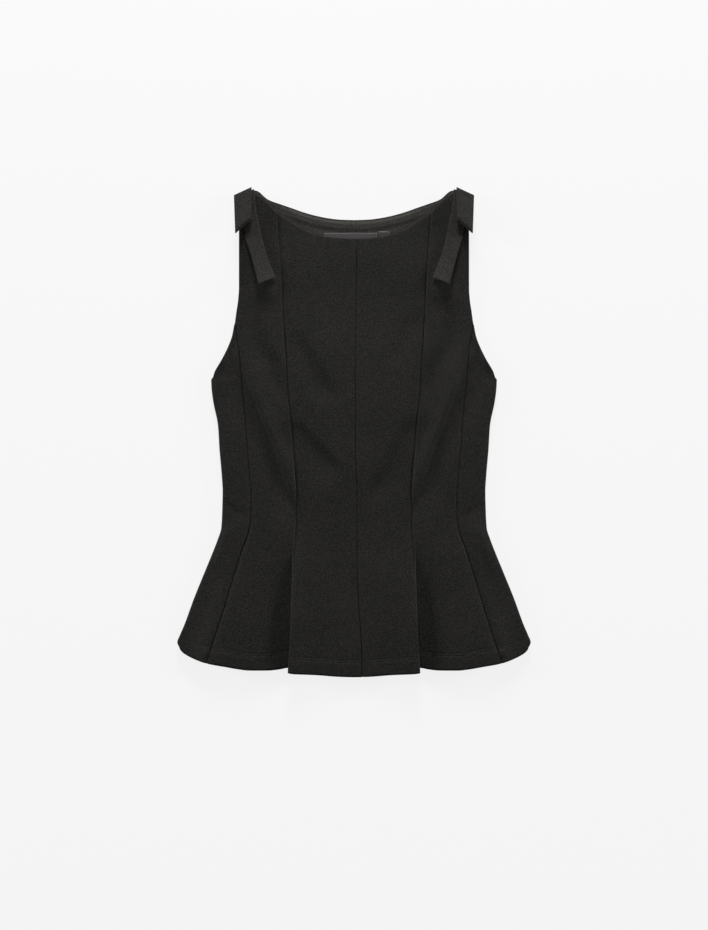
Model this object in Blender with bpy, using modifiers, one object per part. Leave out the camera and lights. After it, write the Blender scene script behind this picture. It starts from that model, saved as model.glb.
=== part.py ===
"""Sleeveless peplum top of black crepe, lying flat on a surface with its front up.

The cloth is built as the panels that a maker would cut: two centre fronts, two side fronts, two side
panels that wrap round the sides, two centre backs, two side backs and a back neck facing. A label, a
size tab and a folded bow at each shoulder lie on them. +X is to the right, +Y runs from hem to neck,
+Z is up and the surface is z = 0.

The tables are in millimetres. A height is measured up the garment from the lowest point of the hem,
and the other columns are half widths from the middle, the same on both sides.
"""

import math
from bisect import bisect_right
from collections import namedtuple

import bmesh
import bpy
from mathutils import Vector

MM = 0.001

# Sizes of the cloth
TOP_LENGTH = 611.0
CLOTH = 1.2
TRIM = 1.0
SEAM_GAP = 0.3

# Heights of the middle of each layer's wall above the surface
BACK_LAYER = CLOTH / 2
FACING_LAYER = CLOTH + SEAM_GAP + TRIM / 2
LABEL_LAYER = FACING_LAYER + TRIM + SEAM_GAP
FRONT_LAYER = 2.9
OVER_FACING = 0.8
OVER_LABEL = 1.3
SIDE_PUFF = 1.5
BUST_VOLUME = 2.2

# Where the front rises over what is under it or falls again: the heights, or half widths, between
# which it changes
FACING_RISE = (430, 522)
LABEL_RISE = (440, 525)
LABEL_SIDE_FALL = (60, 92)
BUST_RISE = (190, 290)
BUST_FALL = (400, 500)
BUST_SIDE_FALL = (105, 160)
PUFF_REACH = (34, 2)

# Folds and laps
SIDE_FOLD_RADIUS = (FRONT_LAYER + SIDE_PUFF - BACK_LAYER) / 2
VALLEY_DROP = 0.7
VALLEY_END = 120
CENTRE_LIFT = 2.5
LIFT_START = 60
SEAM_RIDGE = 6.0
SEAM_RIDGE_START = 15
VALLEY_RISE = (0.0, 0.55)
BACK_HEM_RAISE = 2.0
BACK_ARMHOLE_INSET = 1.0
PEPLUM_TOP = 185.0
UNDERARM = 371.0
SIDE_HEM = 41.0
HEM_CORNER_DROP = 6.5
UNDERARM_DIP = 3.0
RIDGE_REACH = 12.0

# Facing, label and bows
FACING_DEPTH_MIDDLE = 38.0
FACING_DEPTH_END = 24.0
FACING_END = 110.0
FACING_INSET = 1.0
LABEL_LEFT, LABEL_RIGHT = -37.6, 28.8
LABEL_LOW, LABEL_HIGH = 534.2, 554.2
TAB_LEFT, TAB_RIGHT = 30.6, 44.2
TAB_LOW, TAB_HIGH = 538.0, 556.0
RIBBON_STEP = CLOTH + SEAM_GAP
LOOP_RADIUS = 2.8
LOOP_SHOULDER_RADIUS = 1.1
TAIL_INNER_LIFT = 1.6
TAIL_OUTER_LIFT = 6.0
TAIL_FALL = (488, 540)

# Rows of faces up the garment, as levels that every seam shares
PEPLUM_ROWS, BODY_ROWS, STRAP_ROWS = 12, 9, 7
WAIST_LEVEL, ARMHOLE_LEVEL, TOP_LEVEL = 190.0, 438.0, 600.0

Seams = namedtuple("Seams", "height centre princess side_front")
SEAMS = (
    Seams(0, 10.5, 83.3, 187.0),
    Seams(20, 10.4, 82.0, 183.2),
    Seams(50, 9.1, 80.0, 173.5),
    Seams(90, 6.1, 78.2, 160.5),
    Seams(125, 4.7, 76.5, 150.2),
    Seams(160, 3.9, 74.2, 138.6),
    Seams(180, 3.7, 73.2, 131.3),
    Seams(200, 3.7, 71.9, 128.2),
    Seams(225, 3.4, 71.9, 128.1),
    Seams(255, 2.5, 73.7, 130.3),
    Seams(290, 1.8, 76.5, 133.9),
    Seams(325, 1.7, 79.0, 136.3),
    Seams(350, 1.7, 81.3, 138.5),
    Seams(371, 1.8, 83.0, 140.4),
    Seams(404, 2.1, 85.6, 142.9),
    Seams(438, 2.3, 87.6, 147.9),
    Seams(471, 2.4, 89.2, 147.9),
    Seams(520, 3.3, 91.4, 147.9),
    Seams(579, 2.9, 96.1, 147.9),
)

Edge = namedtuple("Edge", "height out")
SIDE_EDGE = (
    Edge(36.3, 219.6),
    Edge(43.5, 220.7),
    Edge(51, 217.9),
    Edge(66, 211.5),
    Edge(96, 200.6),
    Edge(126, 188.5),
    Edge(156, 176.2),
    Edge(171, 170.4),
    Edge(186, 165.8),
    Edge(208.5, 164.6),
    Edge(231, 164.1),
    Edge(253.5, 165.4),
    Edge(283.5, 168.0),
    Edge(313.5, 169.9),
    Edge(343.5, 175.8),
    Edge(358.5, 177.8),
    Edge(UNDERARM, 178.5),
)
ARMHOLE = (
    Edge(UNDERARM, 178.5),
    Edge(381, 173.7),
    Edge(396, 164.8),
    Edge(411, 157.6),
    Edge(426, 151.8),
    Edge(441, 148.9),
    Edge(456, 146.8),
    Edge(471, 144.6),
    Edge(486, 143.6),
    Edge(TOP_LEVEL, 143.6),
)

Line = namedtuple("Line", "out height")
FRONT_TOP = (
    Line(-12, 547.3),
    Line(3, 547.0),
    Line(34.4, 549.1),
    Line(45.7, 551.9),
    Line(55.7, 555.3),
    Line(66.8, 560.3),
    Line(80.3, 569.3),
    Line(96.1, 579.3),
    Line(109.3, 592.6),
    Line(122.7, 603.0),
    Line(126.0, 605.5),
    Line(143.6, 598.5),
)
BACK_TOP = (
    Line(0, 570.5),
    Line(17.3, 571.1),
    Line(32.3, 572.9),
    Line(47.3, 575.9),
    Line(62.3, 580.0),
    Line(77.3, 585.3),
    Line(92.3, 590.5),
    Line(107.3, 596.1),
    Line(122.3, 607.4),
    Line(126.0, 607.8),
    Line(143.6, 599.5),
)
CENTRE_HEM = (
    Line(-12, 0.2),
    Line(0, 0.0),
    Line(17.3, 0.5),
    Line(47.3, 2.8),
    Line(62.3, 3.6),
    Line(77.3, 4.6),
    Line(84, 6.1),
)
SIDE_HEM_LINE = (
    Line(68, 12.5),
    Line(84.8, 11.3),
    Line(92.3, 9.8),
    Line(107.3, 8.5),
    Line(129.8, 8.6),
    Line(144.8, 10.3),
    Line(159.8, 13.0),
    Line(182.3, 17.1),
    Line(197.3, 22.0),
    Line(212.3, 29.6),
    Line(219.6, 36.3),
)

# The fold at each princess seam: how deep the side front tucks under, how far the cloth turns, and the
# radii of the ridge that shows and of the turn under it
Fold = namedtuple("Fold", "height depth turn ridge tuck")
PRINCESS_FOLD = (
    Fold(0, 13.0, 176, 3.4, 1.7),
    Fold(25, 10.2, 173, 3.1, 1.6),
    Fold(50, 6.8, 166, 2.5, 1.4),
    Fold(65, 4.4, 156, 2.1, 1.3),
    Fold(85, 2.2, 128, 1.6, 1.15),
    Fold(105, 1.7, 82, 1.6, 1.1),
    Fold(125, 1.5, 56, 1.6, 1.0),
    Fold(140, 1.4, 37, 1.4, 1.0),
    Fold(155, 1.3, 20, 1.3, 1.0),
    Fold(170, 1.1, 8, 1.2, 0.9),
    Fold(PEPLUM_TOP, 1.0, 0, 1.1, 0.9),
)

# The long end of each bow, as its two edges from the shoulder down
Tail = namedtuple("Tail", "inner_out inner_height outer_out outer_height")
TAIL = (
    Tail(124.8, 609.0, 146.0, 600.6),
    Tail(123.6, 595.0, 144.6, 591.0),
    Tail(122.4, 583.0, 142.8, 578.0),
    Tail(119.0, 568.0, 139.0, 563.0),
    Tail(115.2, 549.0, 134.4, 545.0),
    Tail(110.2, 531.0, 129.1, 528.0),
    Tail(104.8, 514.5, 123.8, 508.5),
    Tail(97.9, 498.3, 118.9, 489.5),
)

# The short loop of each bow, as the corners of its upper layer
Corner = namedtuple("Corner", "out height")
LOOP_TOP_INNER = Corner(127.7, TOP_LENGTH)
LOOP_TOP_OUTER = Corner(149.7, 600.8)
LOOP_LOW_INNER = Corner(128.8, 570.4)
LOOP_LOW_OUTER = Corner(147.9, 552.8)

ARC_SEGMENTS = 5
CENTRE_COLUMNS = (0.0, 0.2, 0.4, 0.58, 0.74, 0.88, 1.0)
SIDE_FRONT_COLUMNS = (0.1, 0.22, 0.42, 0.62, 0.82, 1.0)
SIDE_PANEL_COLUMNS = (0.0, 0.3, 0.65, 1.0)
BACK_COLUMNS = (0.0, 0.34, 0.67, 1.0)
SETTLE_STEPS = 12


def smooth_curve(pairs):
    """A smooth function through the pairs that doesn't overshoot, and is level beyond its ends."""
    xs = [float(x) for x, _ in pairs]
    ys = [float(y) for _, y in pairs]
    steps = [(ys[i + 1] - ys[i]) / (xs[i + 1] - xs[i]) for i in range(len(xs) - 1)]
    slopes = [steps[0]]
    for before, after in zip(steps, steps[1:]):
        slopes.append(0.0 if before * after <= 0 else 2 * before * after / (before + after))
    slopes.append(steps[-1])

    def value(x):
        if x <= xs[0]:
            return ys[0]
        if x >= xs[-1]:
            return ys[-1]
        i = bisect_right(xs, x) - 1
        width = xs[i + 1] - xs[i]
        t = (x - xs[i]) / width
        rise = 3 * t**2 - 2 * t**3
        start = t**3 - 2 * t**2 + t
        end = t**3 - t**2
        return ys[i] * (1 - rise) + ys[i + 1] * rise + width * (slopes[i] * start + slopes[i + 1] * end)

    return value


centre_at = smooth_curve([(row.height, row.centre) for row in SEAMS])
princess_at = smooth_curve([(row.height, row.princess) for row in SEAMS])
side_front_at = smooth_curve([(row.height, row.side_front) for row in SEAMS])
side_edge_at = smooth_curve([(row.height, row.out) for row in SIDE_EDGE])
armhole_at = smooth_curve([(row.height, row.out) for row in ARMHOLE])
armhole_height = smooth_curve([(row.out, row.height) for row in reversed(ARMHOLE[:6])])
front_top = smooth_curve([(row.out, row.height) for row in FRONT_TOP])
back_top = smooth_curve([(row.out, row.height) for row in BACK_TOP])
centre_hem = smooth_curve([(row.out, row.height) for row in CENTRE_HEM])
side_hem = smooth_curve([(row.out, row.height) for row in SIDE_HEM_LINE])
tuck_depth = smooth_curve([(row.height, row.depth) for row in PRINCESS_FOLD])
tuck_turn = smooth_curve([(row.height, math.radians(row.turn)) for row in PRINCESS_FOLD])
ridge_radius = smooth_curve([(row.height, row.ridge) for row in PRINCESS_FOLD])
tuck_radius = smooth_curve([(row.height, row.tuck) for row in PRINCESS_FOLD])


def blend(a, b, t):
    return a + (b - a) * t


def ease(x, start, end):
    """0 up to start and 1 from end on, with a smooth rise between."""
    t = min(max((x - start) / (end - start), 0.0), 1.0)
    return t * t * (3 - 2 * t)


def outer_at(height):
    """The outer edge of the side fronts: the side front seam, and above it the armhole."""
    return side_front_at(height) if height <= ARMHOLE_LEVEL else armhole_at(height)


def front_height(out, height):
    """The middle of the front's wall above the surface, apart from the peplum's folds."""
    edge = side_edge_at(height)
    near_edge = ease(abs(out), edge - PUFF_REACH[0], edge - PUFF_REACH[1])
    over_label = ease(height, *LABEL_RISE) * (1 - ease(abs(out), *LABEL_SIDE_FALL))
    bust = ease(height, *BUST_RISE) * (1 - ease(height, *BUST_FALL)) * (1 - ease(abs(out), *BUST_SIDE_FALL))
    lifts = OVER_FACING * ease(height, *FACING_RISE) + OVER_LABEL * over_label
    return FRONT_LAYER + lifts + SIDE_PUFF * near_edge + BUST_VOLUME * bust


def peplum_share(height):
    return 1 - ease(height, SEAM_RIDGE_START, PEPLUM_TOP)


def fold_line(height):
    """The princess fold as points (out, up), from where the centre front starts to turn down to where
    the side front lies flat again, and the number of the segment that holds the seam."""
    turn = tuck_turn(height)
    ridge_step = math.pi * ridge_radius(height) / ARC_SEGMENTS
    tuck_step = math.pi * tuck_radius(height) / ARC_SEGMENTS
    shares = [(i + 0.5) / ARC_SEGMENTS for i in range(ARC_SEGMENTS)]
    runs = [(ridge_step, share) for share in shares]
    runs.append((tuck_depth(height), 1.0))
    runs += [(tuck_step, share) for share in reversed(shares)]
    out, up = 0.0, 0.0
    points = [(out, up)]
    for length, share in runs:
        out += length * math.cos(turn * share)
        up -= length * math.sin(turn * share)
        points.append((out, up))
    seam = ARC_SEGMENTS // 2
    seam_out = (points[seam][0] + points[seam + 1][0]) / 2
    shift = princess_at(height) - CLOTH / 2 * math.sin(turn / 2) - seam_out
    low = front_height(princess_at(height), height) - VALLEY_DROP * (1 - ease(height, VALLEY_END, PEPLUM_TOP))
    lift = low - points[-1][1]
    return [(out + shift, up + lift) for out, up in points], seam


def seam_point(points, segment):
    (a_out, a_up), (b_out, b_up) = points[segment], points[segment + 1]
    return (a_out + b_out) / 2, (a_up + b_up) / 2


def centre_front_section(side):
    def section(height):
        fold, seam = fold_line(height)
        start = side * centre_at(height)
        ridge_out, ridge_up = fold[0]
        rise = ridge_up - front_height(ridge_out, height)
        reach = RIDGE_REACH + tuck_depth(height)
        lift = CENTRE_LIFT * (1 - ease(height, LIFT_START, PEPLUM_TOP))
        points = []
        for share in CENTRE_COLUMNS:
            out = blend(start, ridge_out, share)
            near_ridge = 1 / (1 + ((ridge_out - out) / reach) ** 2)
            points.append((out, front_height(out, height) + lift * (1 - near_ridge) + rise * near_ridge))
        return points + fold[1 : seam + 1] + [seam_point(fold, seam)]

    return section


def side_front_section(height):
    fold, seam = fold_line(height)
    points = [seam_point(fold, seam)] + fold[seam + 1 :]
    start_out, start_up = fold[-1]
    drop = start_up - front_height(start_out, height)
    for share in SIDE_FRONT_COLUMNS:
        out = blend(start_out, outer_at(height), share)
        ridge = SEAM_RIDGE * peplum_share(height) * ease(share, *VALLEY_RISE)
        points.append((out, front_height(out, height) + drop * (1 - ease(share, 0.0, 0.5)) + ridge))
    return points


def side_panel_section(height):
    seam_out = side_front_at(height)
    centre_out = side_edge_at(height) - CLOTH / 2 - SIDE_FOLD_RADIUS
    centre_up = BACK_LAYER + SIDE_FOLD_RADIUS
    edge_up = centre_up + SIDE_FOLD_RADIUS
    points = []
    for share in SIDE_PANEL_COLUMNS:
        out = blend(seam_out, centre_out, share)
        ridge = SEAM_RIDGE * peplum_share(height) * (1 - ease(share, 0.0, 0.9))
        points.append((out, blend(front_height(out, height), edge_up, ease(share, 0.5, 1.0)) + ridge))
    for i in range(1, ARC_SEGMENTS + 1):
        angle = math.pi * i / ARC_SEGMENTS
        out = centre_out + SIDE_FOLD_RADIUS * math.sin(angle)
        points.append((out, centre_up + SIDE_FOLD_RADIUS * math.cos(angle)))
    for share in SIDE_PANEL_COLUMNS[-2::-1]:
        points.append((blend(seam_out, centre_out, share), BACK_LAYER))
    return points


def centre_back_section(height):
    return [(blend(0, princess_at(height), share), BACK_LAYER) for share in BACK_COLUMNS]


def side_back_section(height):
    outer = outer_at(height)
    if height > ARMHOLE_LEVEL:
        outer -= BACK_ARMHOLE_INSET
    return [(blend(princess_at(height), outer, share), BACK_LAYER) for share in BACK_COLUMNS]


def row_levels(last):
    """The shared levels from the hem up to the armhole level or to the top."""
    levels = [WAIST_LEVEL * i / PEPLUM_ROWS for i in range(PEPLUM_ROWS)]
    levels += [blend(WAIST_LEVEL, ARMHOLE_LEVEL, i / BODY_ROWS) for i in range(BODY_ROWS + 1)]
    if last > ARMHOLE_LEVEL:
        levels += [blend(ARMHOLE_LEVEL, TOP_LEVEL, (i + 1) / STRAP_ROWS) for i in range(STRAP_ROWS)]
    return levels


def seam_height(level, low, middle, high):
    """Where a level lies on a seam that runs from low through middle, at the armhole level, to high."""
    if level <= ARMHOLE_LEVEL:
        return blend(low, middle, level / ARMHOLE_LEVEL)
    return blend(middle, high, (level - ARMHOLE_LEVEL) / (TOP_LEVEL - ARMHOLE_LEVEL))


def settle(section, column, start, line):
    """The height at which a column of the section meets a line that gives a height for each half width."""
    height = start
    for _ in range(SETTLE_STEPS):
        height = line(section(height)[column][0])
    return height


Seam = namedtuple("Seam", "low middle high")
CENTRE_SEAM = Seam(0.0, 432.0, 547.0)
PRINCESS_SEAM = Seam(6.0, 436.0, 579.3)
SIDE_FRONT_SEAM = Seam(17.8, ARMHOLE_LEVEL, 598.5)
CENTRE_BACK_SEAM = Seam(BACK_HEM_RAISE, 432.0, 570.5)
PRINCESS_BACK_SEAM = Seam(6.0 + BACK_HEM_RAISE, 436.0, 591.5)
SIDE_BACK_SEAM = Seam(17.8 + BACK_HEM_RAISE, ARMHOLE_LEVEL - 1, 599.5)


def add_grid(columns, rows, place, name):
    """A grid of faces whose vertices are placed, in millimetres, by place(column, row)."""
    shape = bmesh.new()
    bmesh.ops.create_grid(shape, x_segments=columns - 1, y_segments=rows - 1, size=0.5)
    for vertex in shape.verts:
        column = round((vertex.co.x + 0.5) * (columns - 1))
        row = round((vertex.co.y + 0.5) * (rows - 1))
        vertex.co = Vector(place(column, row)) * MM
    mesh = bpy.data.meshes.new(name)
    shape.to_mesh(mesh)
    shape.free()
    return mesh


def add_cloth(name, mesh, thickness, material):
    cloth = bpy.data.objects.new(name, mesh)
    collection.objects.link(cloth)
    cloth.parent = garment
    cloth.data.materials.append(material)
    cloth.data.shade_smooth()
    wall = cloth.modifiers.new("wall", "SOLIDIFY")
    wall.thickness = thickness * MM
    wall.offset = 0
    wall.use_even_offset = True
    return cloth


def cloth_material(name, colour, roughness):
    material = bpy.data.materials.new(name)
    material.use_nodes = True
    shader = material.node_tree.nodes["Principled BSDF"]
    shader.inputs["Base Color"].default_value = (*colour, 1)
    shader.inputs["Roughness"].default_value = roughness
    shader.inputs["Metallic"].default_value = 0
    material.diffuse_color = (*colour, 1)
    return material


def drawn_in(points, column):
    """The section's point, with the end ones drawn in by half the seam gap."""
    if column not in (0, len(points) - 1):
        return points[column]
    (out, up), (next_out, next_up) = points[column], points[1 if column == 0 else column - 1]
    share = SEAM_GAP / 2 / math.hypot(next_out - out, next_up - up)
    return blend(out, next_out, share), blend(up, next_up, share)


def add_panel(name, side, section, inner, outer, low_line, high_line, levels, material):
    """A panel between two seams, with its hem on low_line and its upper edge on high_line."""
    columns = len(section(levels[0]))
    top = levels[-1]
    shares = [column / (columns - 1) for column in range(columns)]
    inner_rows = [seam_height(level, *inner) for level in levels]
    outer_rows = [seam_height(level, *outer) for level in levels]
    low = [low_line(section, column, share) for column, share in enumerate(shares)]
    high = [high_line(section, column, share) for column, share in enumerate(shares)]

    def place(column, row):
        share = shares[column]
        up_share = levels[row] / top
        height = blend(inner_rows[row], outer_rows[row], share)
        height += (1 - up_share) * (low[column] - blend(inner_rows[0], outer_rows[0], share))
        height += up_share * (high[column] - blend(inner_rows[-1], outer_rows[-1], share))
        out, up = drawn_in(section(height), column)
        return side * out, height - TOP_LENGTH / 2, up

    return add_cloth(name, add_grid(columns, len(levels), place, name), CLOTH, material)


def along(line, start, raised=0.0):
    """An edge of a panel that follows a line, solved for each column of its section."""

    def height_of(section, column, share):
        return settle(section, column, start, line) + raised

    return height_of


def tucked_hem(section, column, share):
    """The hem of a side front: it climbs through the tuck, then follows the visible hem."""
    tuck_columns = 2 * ARC_SEGMENTS - ARC_SEGMENTS // 2
    if column < tuck_columns:
        return blend(PRINCESS_SEAM.low, side_hem(68), column / tuck_columns)
    return settle(section, column, 10, side_hem)


def side_panel_hem(section, column, share):
    front_columns = len(SIDE_PANEL_COLUMNS)
    if column >= front_columns - 1 and column < front_columns + ARC_SEGMENTS:
        turned = (column - front_columns + 1) / ARC_SEGMENTS
        return SIDE_HEM + BACK_HEM_RAISE * turned - HEM_CORNER_DROP * (1 - math.sin(math.pi * turned))
    raised = 0.0 if column < front_columns else BACK_HEM_RAISE
    return settle(section, column, 20, side_hem) + raised


def side_panel_top(section, column, share):
    front_columns = len(SIDE_PANEL_COLUMNS)
    if column >= front_columns - 1 and column < front_columns + ARC_SEGMENTS:
        turned = (column - front_columns + 1) / ARC_SEGMENTS
        return UNDERARM + UNDERARM_DIP * (1 - math.sin(math.pi * turned))
    if column == 0:
        return SIDE_FRONT_SEAM.middle
    if share == 1:
        return SIDE_BACK_SEAM.middle
    return settle(section, column, 400, armhole_height)


def add_front_and_back(side, suffix):
    body = row_levels(TOP_LEVEL)
    short = row_levels(ARMHOLE_LEVEL)
    add_panel(
        "front_centre_" + suffix, side, centre_front_section(side), CENTRE_SEAM, PRINCESS_SEAM,
        along(centre_hem, 0), along(front_top, 560), body, crepe,
    )
    add_panel(
        "front_side_" + suffix, side, side_front_section, PRINCESS_SEAM, SIDE_FRONT_SEAM,
        tucked_hem, along(front_top, 590), body, crepe,
    )
    add_panel(
        "side_panel_" + suffix, side, side_panel_section, SIDE_FRONT_SEAM, SIDE_BACK_SEAM,
        side_panel_hem, side_panel_top, short, crepe,
    )
    add_panel(
        "back_centre_" + suffix, side, centre_back_section, CENTRE_BACK_SEAM, PRINCESS_BACK_SEAM,
        along(centre_hem, 0, BACK_HEM_RAISE), along(back_top, 580), body, crepe,
    )
    add_panel(
        "back_side_" + suffix, side, side_back_section, PRINCESS_BACK_SEAM, SIDE_BACK_SEAM,
        along(side_hem, 10, BACK_HEM_RAISE), along(back_top, 595), body, crepe,
    )


def add_facing(side, suffix):
    """One half of the facing, which follows the back neckline on top of the back panels."""
    columns, rows = 11, 3

    def place(column, row):
        share = column / (columns - 1)
        out = blend(SEAM_GAP / 2, FACING_END, share)
        depth = blend(FACING_DEPTH_MIDDLE, FACING_DEPTH_END, share) * (1 - row / (rows - 1))
        return side * out, back_top(out) - FACING_INSET - depth - TOP_LENGTH / 2, FACING_LAYER

    name = "neck_facing_" + suffix
    add_cloth(name, add_grid(columns, rows, place, name), TRIM, facing_cloth)


def add_patch(name, left, right, low, high, material):
    """A small flat piece on top of the facing."""

    def place(column, row):
        return blend(left, right, column), blend(low, high, row) - TOP_LENGTH / 2, LABEL_LAYER

    add_cloth(name, add_grid(2, 2, place, name), TRIM, material)


def add_tail(side, suffix):
    """The long end of the bow. It lies on the strap, and twists so that its cut end stands off the front."""
    columns = 4

    def place(column, row):
        edge = TAIL[len(TAIL) - 1 - row]
        share = column / (columns - 1)
        out = blend(edge.inner_out, edge.outer_out, share)
        height = blend(edge.inner_height, edge.outer_height, share)
        lift = blend(TAIL_INNER_LIFT, TAIL_OUTER_LIFT, share) * (1 - ease(height, *TAIL_FALL))
        return side * out, height - TOP_LENGTH / 2, front_height(out, height) + RIBBON_STEP + lift

    name = "bow_tail_" + suffix
    add_cloth(name, add_grid(columns, len(TAIL), place, name), CLOTH, crepe)


def add_loop(side, suffix):
    """The short loop of the bow: an under layer, a turn at the lower end and an upper layer."""
    columns, layer_rows = 4, 4
    reach = LOOP_RADIUS + CLOTH / 2
    turn_rows = ARC_SEGMENTS
    rows = 2 * layer_rows + turn_rows - 1

    def place(column, row):
        share = column / (columns - 1)
        top = Vector((blend(LOOP_TOP_INNER.out, LOOP_TOP_OUTER.out, share),
                      blend(LOOP_TOP_INNER.height, LOOP_TOP_OUTER.height, share)))
        low = Vector((blend(LOOP_LOW_INNER.out, LOOP_LOW_OUTER.out, share),
                      blend(LOOP_LOW_INNER.height, LOOP_LOW_OUTER.height, share)))
        down = (low - top).normalized()
        low -= down * reach
        under = front_height(LOOP_LOW_OUTER.out, LOOP_TOP_OUTER.height) + 2 * RIBBON_STEP
        if row < layer_rows:
            spot, up = top.lerp(low, row / (layer_rows - 1)), under
        elif row < layer_rows + turn_rows - 1:
            angle = math.pi * (row - layer_rows + 1) / turn_rows
            spot = low + down * LOOP_RADIUS * math.sin(angle)
            up = under + LOOP_RADIUS * (1 - math.cos(angle))
        else:
            back_up = (row - layer_rows - turn_rows + 1) / (layer_rows - 1)
            spot, up = low.lerp(top, back_up), under + 2 * blend(LOOP_RADIUS, LOOP_SHOULDER_RADIUS, back_up)
        return side * spot.x, spot.y - TOP_LENGTH / 2, up

    name = "bow_loop_" + suffix
    add_cloth(name, add_grid(columns, rows, place, name), CLOTH, crepe)


for leftover in list(bpy.data.objects):
    bpy.data.objects.remove(leftover)

collection = bpy.data.collections.new("peplum_top")
bpy.context.scene.collection.children.link(collection)
garment = bpy.data.objects.new("peplum_top", None)
collection.objects.link(garment)

crepe = cloth_material("black crepe", (0.012, 0.0115, 0.010), 0.85)
facing_cloth = cloth_material("black facing crepe", (0.014, 0.013, 0.011), 0.85)
satin = cloth_material("black woven satin", (0.05, 0.048, 0.047), 0.5)

for sign, word in ((-1, "left"), (1, "right")):
    add_front_and_back(sign, word)
    add_facing(sign, word)
    add_tail(sign, word)
    add_loop(sign, word)
add_patch("neck_label", LABEL_LEFT, LABEL_RIGHT, LABEL_LOW, LABEL_HIGH, satin)
add_patch("size_tab", TAB_LEFT, TAB_RIGHT, TAB_LOW, TAB_HIGH, satin)
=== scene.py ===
# %% [markdown]
# A sleeveless peplum top of black stretch crepe lies flat on a pale surface with its front up.
# Ten panels make it: two centre fronts, two side fronts, two side panels that wrap round the sides,
# and four back panels. A facing, a small label and a size tab lie inside the neck, and a folded bow
# sits on each shoulder. This lesson rebuilds each of them as thin cloth over its plain solid.
#
# The solids come first. They fix every size and place, and each piece below stands for one of them.

# %% Load the solids
import math
from bisect import bisect_right
from collections import namedtuple

import bmesh
import bpy
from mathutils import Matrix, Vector


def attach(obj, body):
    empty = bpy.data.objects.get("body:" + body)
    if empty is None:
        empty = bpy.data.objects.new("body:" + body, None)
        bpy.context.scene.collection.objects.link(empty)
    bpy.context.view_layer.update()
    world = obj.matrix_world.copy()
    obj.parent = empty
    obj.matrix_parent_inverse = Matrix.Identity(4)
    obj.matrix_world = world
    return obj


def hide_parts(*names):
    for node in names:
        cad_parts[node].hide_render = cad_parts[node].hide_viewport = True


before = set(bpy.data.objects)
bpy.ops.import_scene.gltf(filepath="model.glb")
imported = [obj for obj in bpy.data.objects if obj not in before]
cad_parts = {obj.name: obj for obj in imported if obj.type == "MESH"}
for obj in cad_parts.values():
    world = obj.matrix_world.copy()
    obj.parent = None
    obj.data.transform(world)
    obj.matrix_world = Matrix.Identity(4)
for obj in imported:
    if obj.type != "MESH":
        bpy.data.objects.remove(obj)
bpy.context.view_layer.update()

# %% [markdown]
# The photograph looks straight down, so the camera hangs over the middle of the top with its own top
# edge towards the neck. A long lens keeps the flat garment free of perspective.

# %% Hang the camera
CAMERA_HEIGHT = 2.745
CAMERA_Y = -0.041
CAMERA_LENS = 85.0

camera = bpy.data.objects.new("camera", bpy.data.cameras.new("camera"))
bpy.context.scene.collection.objects.link(camera)
camera.data.lens = CAMERA_LENS
camera.location = (0, CAMERA_Y, CAMERA_HEIGHT)
bpy.context.scene.camera = camera
bpy.context.scene.view_settings.view_transform = "Standard"
print("camera over", tuple(camera.location))

# %% [markdown]
# Everything is measured in millimetres, up the garment from the lowest point of the hem and outwards
# from its middle. These are the sizes that the solids were built from: the thickness of the cloth, the
# height of each layer over the surface, and how far the cloth folds at each seam of the peplum.

# %% Sizes of the cloth and its layers
MM = 0.001
TOP_LENGTH = 611.0
CLOTH = 1.2
TRIM = 1.0
SEAM_GAP = 0.3

BACK_LAYER = CLOTH / 2
FACING_LAYER = CLOTH + SEAM_GAP + TRIM / 2
LABEL_LAYER = FACING_LAYER + TRIM + SEAM_GAP
FRONT_LAYER = 2.9
OVER_FACING = 0.8
OVER_LABEL = 1.3
SIDE_PUFF = 1.5
BUST_VOLUME = 2.2

FACING_RISE = (430, 522)
LABEL_RISE = (440, 525)
LABEL_SIDE_FALL = (60, 92)
BUST_RISE = (190, 290)
BUST_FALL = (400, 500)
BUST_SIDE_FALL = (105, 160)
PUFF_REACH = (34, 2)

SIDE_FOLD_RADIUS = (FRONT_LAYER + SIDE_PUFF - BACK_LAYER) / 2
VALLEY_DROP = 0.7
CENTRE_LIFT = 2.5
SEAM_RIDGE = 6.0
VALLEY_RISE = (0.0, 0.55)
BACK_HEM_RAISE = 2.0
BACK_ARMHOLE_INSET = 1.0
PEPLUM_TOP = 185.0
UNDERARM = 371.0
SIDE_HEM = 41.0
HEM_CORNER_DROP = 6.5
UNDERARM_DIP = 3.0
RIDGE_REACH = 12.0
WAIST_LEVEL, ARMHOLE_LEVEL, TOP_LEVEL = 190.0, 438.0, 600.0
print("cloth", CLOTH, "mm thick, front layer", FRONT_LAYER, "mm over the surface")

# %% [markdown]
# A pattern maker draws a panel by its seams. Each table gives a seam or an edge at the few heights
# where its line changes, and a smooth curve through them gives the rest.

# %% The lines of the pattern
Seams = namedtuple("Seams", "height centre princess side_front")
SEAMS = (
    Seams(0, 10.5, 83.3, 187.0),
    Seams(20, 10.4, 82.0, 183.2),
    Seams(50, 9.1, 80.0, 173.5),
    Seams(90, 6.1, 78.2, 160.5),
    Seams(125, 4.7, 76.5, 150.2),
    Seams(160, 3.9, 74.2, 138.6),
    Seams(180, 3.7, 73.2, 131.3),
    Seams(200, 3.7, 71.9, 128.2),
    Seams(225, 3.4, 71.9, 128.1),
    Seams(255, 2.5, 73.7, 130.3),
    Seams(290, 1.8, 76.5, 133.9),
    Seams(325, 1.7, 79.0, 136.3),
    Seams(350, 1.7, 81.3, 138.5),
    Seams(371, 1.8, 83.0, 140.4),
    Seams(404, 2.1, 85.6, 142.9),
    Seams(438, 2.3, 87.6, 147.9),
    Seams(471, 2.4, 89.2, 147.9),
    Seams(520, 3.3, 91.4, 147.9),
    Seams(579, 2.9, 96.1, 147.9),
)

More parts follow.
